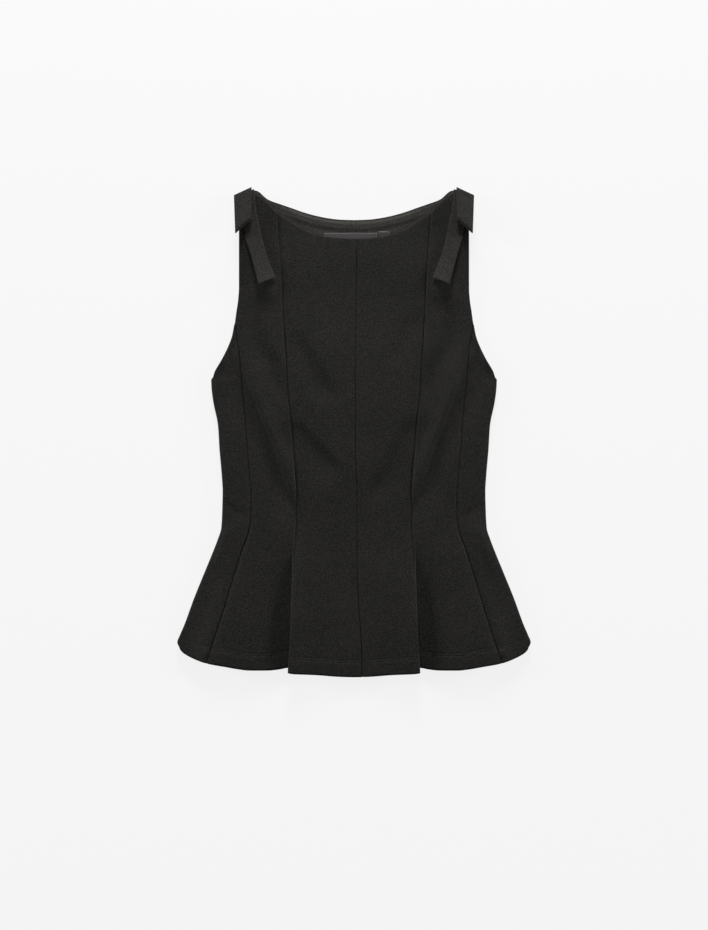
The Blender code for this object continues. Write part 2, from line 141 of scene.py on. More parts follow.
Edge = namedtuple("Edge", "height out")
SIDE_EDGE = (
    Edge(36.3, 219.6),
    Edge(43.5, 220.7),
    Edge(51, 217.9),
    Edge(66, 211.5),
    Edge(96, 200.6),
    Edge(126, 188.5),
    Edge(156, 176.2),
    Edge(171, 170.4),
    Edge(186, 165.8),
    Edge(208.5, 164.6),
    Edge(231, 164.1),
    Edge(253.5, 165.4),
    Edge(283.5, 168.0),
    Edge(313.5, 169.9),
    Edge(343.5, 175.8),
    Edge(358.5, 177.8),
    Edge(UNDERARM, 178.5),
)
ARMHOLE = (
    Edge(UNDERARM, 178.5),
    Edge(381, 173.7),
    Edge(396, 164.8),
    Edge(411, 157.6),
    Edge(426, 151.8),
    Edge(441, 148.9),
    Edge(456, 146.8),
    Edge(471, 144.6),
    Edge(486, 143.6),
    Edge(TOP_LEVEL, 143.6),
)

Line = namedtuple("Line", "out height")
FRONT_TOP = (
    Line(-12, 547.3),
    Line(3, 547.0),
    Line(34.4, 549.1),
    Line(45.7, 551.9),
    Line(55.7, 555.3),
    Line(66.8, 560.3),
    Line(80.3, 569.3),
    Line(96.1, 579.3),
    Line(109.3, 592.6),
    Line(122.7, 603.0),
    Line(126.0, 605.5),
    Line(143.6, 598.5),
)
BACK_TOP = (
    Line(0, 570.5),
    Line(17.3, 571.1),
    Line(32.3, 572.9),
    Line(47.3, 575.9),
    Line(62.3, 580.0),
    Line(77.3, 585.3),
    Line(92.3, 590.5),
    Line(107.3, 596.1),
    Line(122.3, 607.4),
    Line(126.0, 607.8),
    Line(143.6, 599.5),
)
CENTRE_HEM = (
    Line(-12, 0.2),
    Line(0, 0.0),
    Line(17.3, 0.5),
    Line(47.3, 2.8),
    Line(62.3, 3.6),
    Line(77.3, 4.6),
    Line(84, 6.1),
)
SIDE_HEM_LINE = (
    Line(68, 12.5),
    Line(84.8, 11.3),
    Line(92.3, 9.8),
    Line(107.3, 8.5),
    Line(129.8, 8.6),
    Line(144.8, 10.3),
    Line(159.8, 13.0),
    Line(182.3, 17.1),
    Line(197.3, 22.0),
    Line(212.3, 29.6),
    Line(219.6, 36.3),
)

Fold = namedtuple("Fold", "height depth turn ridge tuck")
PRINCESS_FOLD = (
    Fold(0, 13.0, 176, 3.4, 1.7),
    Fold(25, 10.2, 173, 3.1, 1.6),
    Fold(50, 6.8, 166, 2.5, 1.4),
    Fold(65, 4.4, 156, 2.1, 1.3),
    Fold(85, 2.2, 128, 1.6, 1.15),
    Fold(105, 1.3, 112, 1.35, 0.95),
    Fold(125, 0.9, 100, 1.1, 0.75),
    Fold(140, 0.5, 84, 0.8, 0.7),
    Fold(155, 0.3, 46, 0.7, 0.7),
    Fold(170, 0.5, 12, 0.9, 0.8),
    Fold(PEPLUM_TOP, 1.0, 0, 1.1, 0.9),
)


def blend(a, b, t):
    return a + (b - a) * t


def ease(x, start, end):
    """0 up to start and 1 from end on, with a smooth rise between."""
    t = min(max((x - start) / (end - start), 0.0), 1.0)
    return t * t * (3 - 2 * t)


def smooth_curve(pairs):
    """A smooth function through the pairs that doesn't overshoot, and is level beyond its ends."""
    xs = [float(x) for x, _ in pairs]
    ys = [float(y) for _, y in pairs]
    steps = [(ys[i + 1] - ys[i]) / (xs[i + 1] - xs[i]) for i in range(len(xs) - 1)]
    slopes = [steps[0]]
    for before, after in zip(steps, steps[1:]):
        slopes.append(0.0 if before * after <= 0 else 2 * before * after / (before + after))
    slopes.append(steps[-1])

    def value(x):
        if x <= xs[0]:
            return ys[0]
        if x >= xs[-1]:
            return ys[-1]
        i = bisect_right(xs, x) - 1
        width = xs[i + 1] - xs[i]
        t = (x - xs[i]) / width
        rise = 3 * t**2 - 2 * t**3
        start = t**3 - 2 * t**2 + t
        end = t**3 - t**2
        return ys[i] * (1 - rise) + ys[i + 1] * rise + width * (slopes[i] * start + slopes[i + 1] * end)

    return value


centre_at = smooth_curve([(row.height, row.centre) for row in SEAMS])
princess_at = smooth_curve([(row.height, row.princess) for row in SEAMS])
side_front_at = smooth_curve([(row.height, row.side_front) for row in SEAMS])
side_edge_at = smooth_curve([(row.height, row.out) for row in SIDE_EDGE])
armhole_at = smooth_curve([(row.height, row.out) for row in ARMHOLE])
armhole_height = smooth_curve([(row.out, row.height) for row in reversed(ARMHOLE[:6])])
front_top = smooth_curve([(row.out, row.height) for row in FRONT_TOP])
back_top = smooth_curve([(row.out, row.height) for row in BACK_TOP])
centre_hem = smooth_curve([(row.out, row.height) for row in CENTRE_HEM])
side_hem = smooth_curve([(row.out, row.height) for row in SIDE_HEM_LINE])
tuck_depth = smooth_curve([(row.height, row.depth) for row in PRINCESS_FOLD])
tuck_turn = smooth_curve([(row.height, math.radians(row.turn)) for row in PRINCESS_FOLD])
ridge_radius = smooth_curve([(row.height, row.ridge) for row in PRINCESS_FOLD])
tuck_radius = smooth_curve([(row.height, row.tuck) for row in PRINCESS_FOLD])
print("waist half width", side_edge_at(231), "hem half width", side_edge_at(43.5), "mm")

# %% [markdown]
# Cloth that lies flat is never quite flat. It drags into long creases between the bust and the waist,
# puffs a little beside them, and swells at the side folds. They could be painted as light and dark, but
# then they would stay put while the light moved. Here they are real troughs and ridges, listed one by one,
# each with its own length, depth and width. A positive depth is a trough, and a negative one a ridge. Most
# are steep on the side of the bust, over their reach, and run out gently on the other, over their slack.

# %% Creases and soft forms of the front
Crease = namedtuple("Crease", "sides depth reach slack line")
LEFT, RIGHT, BOTH = (-1,), (1,), (-1, 1)
FRONT_CREASES = (
    Crease(BOTH, 2.8, 8, 32, ((148, 416), (134, 361), (119, 323), (106, 293), (99, 273), (88, 238), (76, 208), (60, 176))),
    Crease(BOTH, -1.9, 15, 8, ((140, 416), (125, 361), (110, 323), (97, 293), (90, 273), (79, 238), (68, 206))),
    Crease(BOTH, 2.6, 15, 22, ((128, 474), (124, 442), (115, 410), (101, 387), (92, 356), (87, 326))),
    Crease(LEFT, 2.3, 18, 28, ((84, 440), (66, 409), (52, 382), (34, 355), (16, 334))),
    Crease(RIGHT, 1.5, 18, 26, ((86, 462), (68, 430), (54, 405), (44, 380))),
    Crease(LEFT, 2.5, 17, 46, ((88, 322), (79, 311), (64, 299), (48, 281), (32, 264), (12, 246))),
    Crease(RIGHT, 2.8, 17, 40, ((88, 332), (80, 320), (65, 300), (54, 276), (43, 250), (18, 214))),
    Crease(BOTH, 1.3, 9, 9, ((146, 430), (160, 390), (171, 364))),
    Crease(BOTH, 0.9, 8, 9, ((173, 231), (157, 213), (142, 202), (130, 196))),
    Crease(BOTH, 0.7, 8, 8, ((172, 318), (164, 290), (152, 262))),
    Crease(BOTH, 1.0, 8, 9, ((132, 192), (143, 148), (154, 112), (167, 70), (182, 22), (192, -20))),
    Crease(BOTH, -1.7, 82, 44, ((131, 200), (143, 146), (155, 108), (168, 68), (187, 2), (205, -60))),
    Crease(BOTH, -2.3, 120, 96, ((150, 178), (104, 176), (62, 178))),
    Crease(BOTH, -1.5, 22, 60, ((192, 178), (172, 178), (156, 178), (138, 178))),
    Crease(BOTH, 0.9, 10, 10, ((2, 150), (5, 90), (9, 20))),
)

Form = namedtuple("Form", "sides lift out height out_reach height_reach")
FRONT_FORMS = (
    Form(BOTH, 0.5, 145, 330, 26, 52),
    Form(BOTH, 2.0, 164, 397, 12, 26),
    Form(BOTH, 1.9, 111, 488, 24, 38),
    Form(BOTH, 1.7, 108, 484, 15, 22),
    Form(BOTH, 0.45, 59, 173, 5, 3.5),
    Form(BOTH, -0.35, 60, 163, 6, 2.5),
    Form(BOTH, 1.1, 185, 30, 4, 7),
    Form(BOTH, 1.3, 108, 0, 30, 22),
)
SIDE_RIDGE_SHARE = 0.5


def crease_shape(distance):
    """A soft trough across its reach, 1 at its middle, with a slight shoulder before it ends."""
    if distance >= 1:
        return 0.0
    return (1 - distance**2) ** 2 * (1 - SIDE_RIDGE_SHARE * distance**2)


def laid_out(creases):
    """Each crease as signed points, with its length up to each point and the box that it touches."""
    found = []
    for crease in creases:
        for side in crease.sides:
            points = [(side * out, height) for out, height in crease.line]
            lengths = [0.0]
            for (ax, ay), (bx, by) in zip(points, points[1:]):
                lengths.append(lengths[-1] + math.hypot(bx - ax, by - ay))
            xs = [x for x, _ in points]
            ys = [y for _, y in points]
            reach = max(crease.reach, crease.slack)
            box = (min(xs) - reach, max(xs) + reach, min(ys) - reach, max(ys) + reach)
            found.append((crease, points, lengths, box))
    return found


def crease_lift(laid, x, height):
    """How far the creases lift the cloth at a point, in millimetres."""
    total = 0.0
    for crease, points, lengths, (low_x, high_x, low_y, high_y) in laid:
        if not (low_x < x < high_x and low_y < height < high_y):
            continue
        nearest, along = 1.0, 0.0
        for i in range(len(points) - 1):
            (ax, ay), (bx, by) = points[i], points[i + 1]
            run_x, run_y = bx - ax, by - ay
            share = ((x - ax) * run_x + (height - ay) * run_y) / (run_x**2 + run_y**2)
            share = min(max(share, 0.0), 1.0)
            inner = (run_x * (height - ay) - run_y * (x - ax)) * (1 if ax + bx > 0 else -1) < 0
            distance = math.hypot(x - ax - share * run_x, height - ay - share * run_y)
            distance /= crease.reach if inner else crease.slack
            if distance < nearest:
                nearest = distance
                along = blend(lengths[i], lengths[i + 1], share) / lengths[-1]
        taper = ease(along, 0.0, 0.3) * (1 - ease(along, 0.7, 1.0))
        total -= crease.depth * taper * crease_shape(nearest)
    return total


def form_lift(forms, x, height):
    total = 0.0
    for form in forms:
        for side in form.sides:
            away = math.hypot((x - side * form.out) / form.out_reach, (height - form.height) / form.height_reach)
            if away < 1:
                total += form.lift * (1 - away**2) ** 2
    return total


front_creases = laid_out(FRONT_CREASES)


def front_relief(x, height):
    return crease_lift(front_creases, x, height) + form_lift(FRONT_FORMS, x, height)


print("front creases:", len(front_creases), "deepest", min(front_relief(-105, h) for h in range(240, 360)))

# %% [markdown]
# The back lies on the surface, so its creases can only lift off it. They are fewer and shallower, and
# show when the top is turned over.

# %% Creases of the back
BACK_CREASES = (
    Crease(BOTH, -0.6, 8, 9, ((104, 330), (90, 290), (84, 252))),
    Crease(LEFT, -1.0, 11, 13, ((66, 460), (48, 432), (26, 402))),
    Crease(RIGHT, -1.1, 12, 14, ((70, 462), (50, 430), (30, 398))),
    Crease(LEFT, -0.6, 9, 10, ((60, 250), (42, 226), (20, 210))),
    Crease(RIGHT, -0.6, 10, 9, ((62, 246), (46, 222), (24, 206))),
    Crease(BOTH, -0.6, 8, 8, ((158, 340), (150, 310), (146, 288))),
)
back_creases = laid_out(BACK_CREASES)


def back_relief(x, height):
    return crease_lift(back_creases, x, height)


print("back creases:", len(back_creases))

# %% [markdown]
# A row across the garment is a section: the path that the cloth takes from one seam to the next, with
# its distance out and its height over the surface. At each princess seam of the peplum the centre front
# ends in a ridge and the side front tucks under it. A fold like that could be two sheets that overlap,
# but then the cloth would have a loose end inside. Here it is one path of short steps that turn a little
# at a time, so the cloth keeps its length all the way through the turn.

# %% Sections of the front
ARC_SEGMENTS = 9
CREST_STEPS = (0.5, 0.4, 0.3, 0.3, 0.5, 1.4, 1.8, 1.9, 1.9)
SIDE_ARC_SEGMENTS = 10
FINE_STEPS = (0.0, 0.4, 0.8, 1.2, 1.6, 2.0, 2.4, 3.5)


def shares_across(width, step, fine_start, fine_end):
    """Shares from 0 to 1 across a width of cloth, in even steps, closer together beside a seam."""
    start = FINE_STEPS if fine_start else (0.0,)
    end = FINE_STEPS if fine_end else (0.0,)
    room = width - start[-1] - end[-1]
    count = max(1, round(room / step))
    between = [start[-1] + room * i / count for i in range(1, count)]
    distances = list(start) + between + [width - away for away in reversed(end)]
    return [distance / width for distance in distances]


CENTRE_SHARES = shares_across(78, 2.6, True, False)
SIDE_FRONT_SHARES = shares_across(68, 2.6, False, True)[1:]
SIDE_PANEL_SHARES = shares_across(34, 2.4, True, False)
BACK_SHARES = shares_across(78, 3.2, True, True)


def outer_at(height):
    """The outer edge of the side fronts: the side front seam, and above it the armhole."""
    return side_front_at(height) if height <= ARMHOLE_LEVEL else armhole_at(height)


def over_neck(out, height):
    """How much the facing and the label lift the front that lies on them."""
    over_label = ease(height, *LABEL_RISE) * (1 - ease(abs(out), *LABEL_SIDE_FALL))
    return OVER_FACING * ease(height, *FACING_RISE) + OVER_LABEL * over_label


def front_height(out, height):
    """The middle of the front's wall above the surface, apart from the peplum's folds and the creases."""
    edge = side_edge_at(height)
    near_edge = ease(abs(out), edge - PUFF_REACH[0], edge - PUFF_REACH[1])
    bust = ease(height, *BUST_RISE) * (1 - ease(height, *BUST_FALL)) * (1 - ease(abs(out), *BUST_SIDE_FALL))
    return FRONT_LAYER + over_neck(out, height) + SIDE_PUFF * near_edge + BUST_VOLUME * bust


def peplum_share(height):
    return 1 - ease(height, 15, PEPLUM_TOP)


def fold_line(height):
    """The princess fold as points (out, up), from where the centre front starts to turn down to where
    the side front lies flat again, and the number of the segment that holds the seam."""
    turn = tuck_turn(height)
    ridge_step = math.pi * ridge_radius(height) / ARC_SEGMENTS
    tuck_step = math.pi * tuck_radius(height) / ARC_SEGMENTS
    shares = [(i + 0.5) / ARC_SEGMENTS for i in range(ARC_SEGMENTS)]
    runs = [(ridge_step * weight, share) for weight, share in zip(CREST_STEPS, shares)]
    runs += [(tuck_depth(height) / 3, 1.0)] * 3
    runs += [(tuck_step, share) for share in reversed(shares)]
    out, up = 0.0, 0.0
    points = [(out, up)]
    for length, share in runs:
        out += length * math.cos(turn * share)
        up -= length * math.sin(turn * share)
        points.append((out, up))
    seam = ARC_SEGMENTS // 2
    seam_out = (points[seam][0] + points[seam + 1][0]) / 2
    shift = princess_at(height) - CLOTH / 2 * math.sin(turn / 2) - seam_out
    low = front_height(princess_at(height), height) - VALLEY_DROP * (1 - ease(height, 120, PEPLUM_TOP))
    lift = low - points[-1][1]
    return [(out + shift, up + lift) for out, up in points], seam


def seam_point(points, segment):
    (a_out, a_up), (b_out, b_up) = points[segment], points[segment + 1]
    return (a_out + b_out) / 2, (a_up + b_up) / 2


def centre_front_section(side):
    def section(height):
        fold, seam = fold_line(height)
        start = side * centre_at(height)
        ridge_out, ridge_up = fold[0]
        rise = ridge_up - front_height(ridge_out, height)
        reach = RIDGE_REACH + tuck_depth(height)
        lift = CENTRE_LIFT * (1 - ease(height, 60, PEPLUM_TOP))
        points = []
        for share in CENTRE_SHARES:
            out = blend(start, ridge_out, share)
            near_ridge = 1 / (1 + ((ridge_out - out) / reach) ** 2)
            points.append((out, front_height(out, height) + lift * (1 - near_ridge) + rise * near_ridge))
        return points + fold[1 : seam + 1] + [seam_point(fold, seam)]

    return section


def side_front_section(height):
    fold, seam = fold_line(height)
    points = [seam_point(fold, seam)] + fold[seam + 1 :]
    start_out, start_up = fold[-1]
    drop = start_up - front_height(start_out, height)
    for share in SIDE_FRONT_SHARES:
        out = blend(start_out, outer_at(height), share)
        ridge = SEAM_RIDGE * peplum_share(height) * ease(share, *VALLEY_RISE)
        points.append((out, front_height(out, height) + drop * (1 - ease(share, 0.0, 0.5)) + ridge))
    return points


def side_panel_section(height):
    seam_out = side_front_at(height)
    centre_out = side_edge_at(height) - CLOTH / 2 - SIDE_FOLD_RADIUS
    centre_up = BACK_LAYER + SIDE_FOLD_RADIUS
    edge_up = centre_up + SIDE_FOLD_RADIUS
    points = []
    for share in SIDE_PANEL_SHARES:
        out = blend(seam_out, centre_out, share)
        ridge = SEAM_RIDGE * peplum_share(height) * (1 - ease(share, 0.0, 0.9))
        points.append((out, blend(front_height(out, height), edge_up, ease(share, 0.5, 1.0)) + ridge))
    for i in range(1, SIDE_ARC_SEGMENTS + 1):
        angle = math.pi * i / SIDE_ARC_SEGMENTS
        out = centre_out + SIDE_FOLD_RADIUS * math.sin(angle)
        points.append((out, centre_up + SIDE_FOLD_RADIUS * math.cos(angle)))
    for share in SIDE_PANEL_SHARES[-2::-1]:
        points.append((blend(seam_out, centre_out, share), BACK_LAYER))
    return points


def centre_back_section(height):
    return [(blend(0, princess_at(height), share), BACK_LAYER) for share in BACK_SHARES]


def side_back_section(height):
    outer = outer_at(height)
    if height > ARMHOLE_LEVEL:
        outer -= BACK_ARMHOLE_INSET
    return [(blend(princess_at(height), outer, share), BACK_LAYER) for share in BACK_SHARES]


print("points across a centre front at the hem:", len(centre_front_section(1)(0)))

# %% [markdown]
# At a seam the two panels turn down into the seam allowance, so each edge rolls over and the two rolls
# meet in a narrow cleft. A drawn line would do from far off, but it wouldn't catch the light on one side.
# So the last two millimetres of each section follow an arc, whose radius presses the two faces together.
# The sections are worked out every millimetre of height and read between, which keeps the script quick.

# %% Rolled seam edges
SEAM_ROLL = 2.4
SEAM_PRESS = 0.15
FRONT_TURN = math.radians(78)
FOLD_TURN = math.radians(24)
BACK_TURN = math.radians(42)
TURN_UNDER_FACING = math.radians(15)
TABLE_TOP = 620


def seam_turn(height):
    return FRONT_TURN


def fold_turn(height):
    """How far the princess seam's edges turn: less where the peplum folds under anyway."""
    return blend(FOLD_TURN, FRONT_TURN, ease(height, 78, 112))


def back_turn(height):
    return blend(BACK_TURN, TURN_UNDER_FACING, ease(height, 520, 556))


def rolled(points, start_turn, end_turn, inside):
    """The section with its ends rolled over into the seams, and not where a turn is 0. Inside is -1 for
    down and 1 for up."""
    lengths = [0.0]
    for (a_out, a_up), (b_out, b_up) in zip(points, points[1:]):
        lengths.append(lengths[-1] + math.hypot(b_out - a_out, b_up - a_up))
    last = len(points) - 1
    result = []
    for i, (out, up) in enumerate(points):
        away, inward, turn = lengths[i], 1, start_turn
        if lengths[-1] - away < away:
            away, inward, turn = lengths[-1] - away, -1, end_turn
        if away < SEAM_ROLL and turn:
            (a_out, a_up), (b_out, b_up) = points[max(i - 1, 0)], points[min(i + 1, last)]
            run = math.hypot(b_out - a_out, b_up - a_up)
            run_out, run_up = (b_out - a_out) / run, (b_up - a_up) / run
            radius = (SEAM_ROLL + SEAM_PRESS) / math.sin(turn) - CLOTH / 2
            angle = turn * (1 - away / SEAM_ROLL)
            shift = inward * (SEAM_ROLL - radius * math.sin(angle) - away)
            sink = inside * radius * (1 - math.cos(angle))
            out, up = out + shift * run_out - sink * run_up, up + shift * run_up + sink * run_out
        result.append((out, up))
    return result


def section_table(section, start_turn, end_turn, inside, end_top=TABLE_TOP):
    """A function of column and height that reads the rolled section between whole millimetres. Above
    end_top the section ends in a free edge."""
    rows = []
    for height in range(TABLE_TOP):
        turn = end_turn(height) if height <= end_top else 0.0
        rows.append(rolled(section(height), start_turn(height), turn, inside))

    def point(column, height):
        height = min(max(height, 0.0), TABLE_TOP - 1.001)
        low = int(height)
        (a_out, a_up), (b_out, b_up) = rows[low][column], rows[low + 1][column]
        return blend(a_out, b_out, height - low), blend(a_up, b_up, height - low)

    point.columns = len(rows[0])
    return point


def settle(point, column, start, line):
    """The height at which a column of the section meets a line that gives a height for each half width."""
    height = start
    for _ in range(12):
        height = line(point(column, height)[0])
    return height


print("each side of a seam rolls over in its last", SEAM_ROLL, "mm")

# %% [markdown]
# Rows of the grid run up the garment on levels that every seam shares, so neighbouring panels meet row
# by row. The hem is turned up and held by two rows of stitches, which press shallow grooves in the
# cloth. The levels lie closer together there and at every edge, because a groove half a millimetre wide
# needs its own rows of faces.

# %% Levels up the garment
HEM_STITCH_LEVELS = (17.3, 20.3)
GROOVE_REACH = 1.0
GROOVE_DEPTH = 0.12
HEM_BAND_LIFT = 0.05
ROW_STEP = 3.0
EDGE_LEVELS = (0.0, 0.4, 0.9, 1.6, 2.6, 4.0, 6.0, 8.5, 11.0)
GROOVE_LEVELS = (-1.0, -0.6, -0.3, 0.0, 0.3, 0.6, 1.0)
EDGE_ROLL = 2.0
HEM_DROP = 0.9
NECK_DROP = 0.35


def levels_up_to(top):
    levels = set(EDGE_LEVELS)
    for stitch_level in HEM_STITCH_LEVELS:
        levels |= {stitch_level + away for away in GROOVE_LEVELS}
    start = HEM_STITCH_LEVELS[-1] + GROOVE_LEVELS[-1]
    fine_top = top - EDGE_LEVELS[5]
    count = round((fine_top - start) / ROW_STEP)
    levels |= {blend(start, fine_top, i / count) for i in range(1, count)}
    levels |= {top - away for away in EDGE_LEVELS[:6]}
    return sorted(levels)


def level_lift(level, top):
    """The grooves of the hem's stitches, the band under them and the roll of both edges."""
    lift = HEM_BAND_LIFT * (1 - ease(level, HEM_STITCH_LEVELS[0] - 1, HEM_STITCH_LEVELS[0] + 1))
    for stitch_level in HEM_STITCH_LEVELS:
        away = abs(level - stitch_level) / GROOVE_REACH
        if away < 1:
            lift -= GROOVE_DEPTH * (1 - away**2) ** 2
    for away, drop in ((level, HEM_DROP), (top - level, NECK_DROP)):
        if away < EDGE_ROLL:
            lift -= drop * (1 - away / EDGE_ROLL) ** 2
    return lift


Seam = namedtuple("Seam", "low middle high")
CENTRE_SEAM = Seam(0.0, 432.0, 547.0)
PRINCESS_SEAM = Seam(6.0, 436.0, 579.3)
SIDE_FRONT_SEAM = Seam(17.8, ARMHOLE_LEVEL, 598.5)
CENTRE_BACK_SEAM = Seam(BACK_HEM_RAISE, 432.0, 570.5)
PRINCESS_BACK_SEAM = Seam(6.0 + BACK_HEM_RAISE, 436.0, 591.5)
SIDE_BACK_SEAM = Seam(17.8 + BACK_HEM_RAISE, ARMHOLE_LEVEL - 1, 599.5)


def seam_height(level, seam):
    """Where a level lies on a seam that runs from low through middle, at the armhole level, to high."""
    if level <= ARMHOLE_LEVEL:
        return blend(seam.low, seam.middle, level / ARMHOLE_LEVEL)
    return blend(seam.middle, seam.high, (level - ARMHOLE_LEVEL) / (TOP_LEVEL - ARMHOLE_LEVEL))


def along(line, start, raised=0.0):
    """An edge of a panel that follows a line, solved for each column of its section."""

    def height_of(point, column):
        return settle(point, column, start, line) + raised

    return height_of


TUCK_COLUMNS = 2 * ARC_SEGMENTS + 3 - ARC_SEGMENTS // 2
SIDE_PANEL_FRONT_COLUMNS = len(SIDE_PANEL_SHARES)


def tucked_hem(point, column):
    """The hem of a side front: it climbs through the tuck, then follows the visible hem."""
    if column < TUCK_COLUMNS:
        return blend(PRINCESS_SEAM.low, side_hem(68), column / TUCK_COLUMNS)
    return settle(point, column, 10, side_hem)


def fold_share(column):
    """How far a column of the side panel has turned round the side fold, or None if it lies flat."""
    turned = (column - SIDE_PANEL_FRONT_COLUMNS + 1) / SIDE_ARC_SEGMENTS
    return turned if 0 <= turned <= 1 else None


def side_panel_hem(point, column):
    turned = fold_share(column)
    if turned is not None:
        return SIDE_HEM + BACK_HEM_RAISE * turned - HEM_CORNER_DROP * (1 - math.sin(math.pi * turned))
    raised = 0.0 if column < SIDE_PANEL_FRONT_COLUMNS else BACK_HEM_RAISE
    return settle(point, column, 20, side_hem) + raised


def side_panel_top(point, column):
    turned = fold_share(column)
    if turned is not None:
        return UNDERARM + UNDERARM_DIP * (1 - math.sin(math.pi * turned))
    if column == 0:
        return SIDE_FRONT_SEAM.middle
    if column == point.columns - 1:
        return SIDE_BACK_SEAM.middle
    return settle(point, column, 400, armhole_height)


body_levels = levels_up_to(TOP_LEVEL)
short_levels = levels_up_to(ARMHOLE_LEVEL)
print("rows of a full panel:", len(body_levels), "of a side panel:", len(short_levels))

# %% [markdown]
# Colours are given as the hex values that a paint program shows. The renderer works with light, so one
# function turns them into linear values. A second one adds a node, gives it its settings and links its
# inputs, which keeps each material below to a few readable lines.

# %% Colour and node helpers


def linear(hex_colour):
    """An sRGB hex colour as linear red, green, blue and alpha."""
    channels = [int(hex_colour[i : i + 2], 16) / 255 for i in (1, 3, 5)]
    return [c / 12.92 if c <= 0.04045 else ((c + 0.055) / 1.055) ** 2.4 for c in channels] + [1.0]


def add_node(material, kind, settings=None, **inputs):
    """A node of this kind. An input is a value, or a node whose first output feeds it, or (node, output)."""
    tree = material.node_tree
    node = tree.nodes.new(kind)
    for name, value in (settings or {}).items():
        setattr(node, name, value)
    for name, value in inputs.items():
        socket = node.inputs[int(name[1:])] if name[0] == "i" and name[1:].isdigit() else node.inputs[name.replace("_", " ")]
        if isinstance(value, bpy.types.Node):
            tree.links.new(value.outputs[0], socket)
        elif isinstance(value, tuple) and isinstance(value[0], bpy.types.Node):
            tree.links.new(value[0].outputs[value[1]], socket)
        else:
            socket.default_value = value
    return node


def new_material(name):
    material = bpy.data.materials.new(name)
    material.use_nodes = True
    material.node_tree.nodes.clear()
    return material


def finish_material(material, shader):
    add_node(material, "ShaderNodeOutputMaterial", Surface=shader)
    return material


print("black crepe in light:", [round(c, 4) for c in linear("#1c1b18")[:3]])

# %% [markdown]
# Stretch crepe is a knit of high-twist polyester yarn with some elastane. The twist makes the yarn kink,
# so the face is a fine, dry pebble with no direction, matt, with a very slight bloom where it turns away
# from the eye. The real pebble is about 0.5 mm across. One pixel of the render is 1.25 mm, so it is drawn
# in two sizes: a fine one near the real size for close views, and a mottle of 1.6 mm that still shows
# from a step away. The colour varies a little with it, since black dye never takes quite evenly. The
# noise is a solid one, turned so that the flat cloth doesn't lie along one of its grid's own planes.

# %% Black stretch crepe
PEBBLE_SIZE = 0.9 * MM
MOTTLE_SIZE = 1.6 * MM
CLOUD_SIZE = 60 * MM
GRAIN_TURN = [math.radians(angle) for angle in (37, 24, 11)]


def crepe_material(name, dark, light, bloom):
    crepe = new_material(name)
    place = add_node(crepe, "ShaderNodeTexCoord")
    turned = add_node(crepe, "ShaderNodeMapping", Vector=(place, "Object"), Rotation=GRAIN_TURN)
    pebble = add_node(
        crepe, "ShaderNodeTexNoise", Vector=turned, Scale=1 / PEBBLE_SIZE, Detail=2.0, Roughness=0.6,
    )
    mottle = add_node(
        crepe, "ShaderNodeTexNoise", Vector=turned, Scale=1 / MOTTLE_SIZE, Detail=2.0, Roughness=0.65,
    )
    cloud = add_node(
        crepe, "ShaderNodeTexNoise", Vector=turned, Scale=1 / CLOUD_SIZE, Detail=2.0, Roughness=0.5,
    )
    patches = add_node(crepe, "ShaderNodeMath", {"operation": "MULTIPLY"}, i0=mottle, i1=0.9)
    mixed = add_node(crepe, "ShaderNodeMath", {"operation": "MULTIPLY_ADD"}, i0=cloud, i1=0.1, i2=patches)
    tone = add_node(crepe, "ShaderNodeMapRange", i0=mixed, i1=0.37, i2=0.63)
    colour = add_node(crepe, "ShaderNodeMix", {"data_type": "RGBA"}, i0=tone, i6=linear(dark), i7=linear(light))
    grain = add_node(crepe, "ShaderNodeMath", {"operation": "MULTIPLY_ADD"}, i0=mottle, i1=0.8, i2=pebble)
    surface = add_node(crepe, "ShaderNodeBump", Height=grain, Strength=0.8, Distance=0.6 * MM)
    shader = add_node(
        crepe, "ShaderNodeBsdfPrincipled", Base_Color=(colour, 2), Normal=surface, Roughness=0.85, Metallic=0.0,
        Specular_IOR_Level=0.16, Sheen_Weight=bloom, Sheen_Roughness=0.5, Sheen_Tint=linear("#8c8880"),
    )
    return finish_material(crepe, shader)


black_crepe = crepe_material("black_stretch_crepe", "#070707", "#21201e", 0.07)
# The bows are the same crepe in lighter colours: a painted highlight for their raised faces, which catch more
# light.
ribbon_cloth_painted_highlight = crepe_material("black_crepe_ribbon", "#131211", "#292825", 0.09)
# The facing is the same crepe in lighter colours: a painted highlight where the back neckline catches the light.
facing_cloth_painted_highlight = crepe_material("black_facing_crepe", "#1f1e1c", "#33312e", 0.12)
print("pebble", PEBBLE_SIZE / MM, "mm, mottle", MOTTLE_SIZE / MM, "mm")

# %% [markdown]
# Every piece of cloth starts as a flat grid, made by one operator, whose points are then placed. The
# Solidify modifier gives it the thickness of the cloth, and a small Bevel rounds the turned edges. The
# grid also tells the size that the piece was cut to: the longest row and the longest column.

# %% Making a piece of cloth
EDGE_BEVEL = 0.35
BEVEL_ANGLE = math.radians(60)


def grid_mesh(name, columns, rows, place):
    """A grid of faces whose vertices are placed, in millimetres, by place(column, row)."""
    shape = bmesh.new()
    bmesh.ops.create_grid(shape, x_segments=columns - 1, y_segments=rows - 1, size=0.5)
    spots = {}
    for vertex in shape.verts:
        column = round((vertex.co.x + 0.5) * (columns - 1))
        row = round((vertex.co.y + 0.5) * (rows - 1))
        vertex.co = Vector(place(column, row)) * MM
        spots[column, row] = vertex.co.copy()
    mesh = bpy.data.meshes.new(name)
    shape.to_mesh(mesh)
    cut_area = sum(face.calc_area() for face in shape.faces)
    shape.free()
    widths = [
        sum((spots[column + 1, row] - spots[column, row]).length for column in range(columns - 1))
        for row in range(0, rows, 4)
    ]
    lengths = [
        sum((spots[column, row + 1] - spots[column, row]).length for row in range(rows - 1))
        for column in range(0, columns, 4)
    ]
    return mesh, (max(widths), max(lengths)), cut_area


def finish_piece(piece, nodes):
    """The piece rides on the only body and stands for its solids, which it hides."""
    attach(piece, "root")
    if nodes:
        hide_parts(*nodes)
    return piece


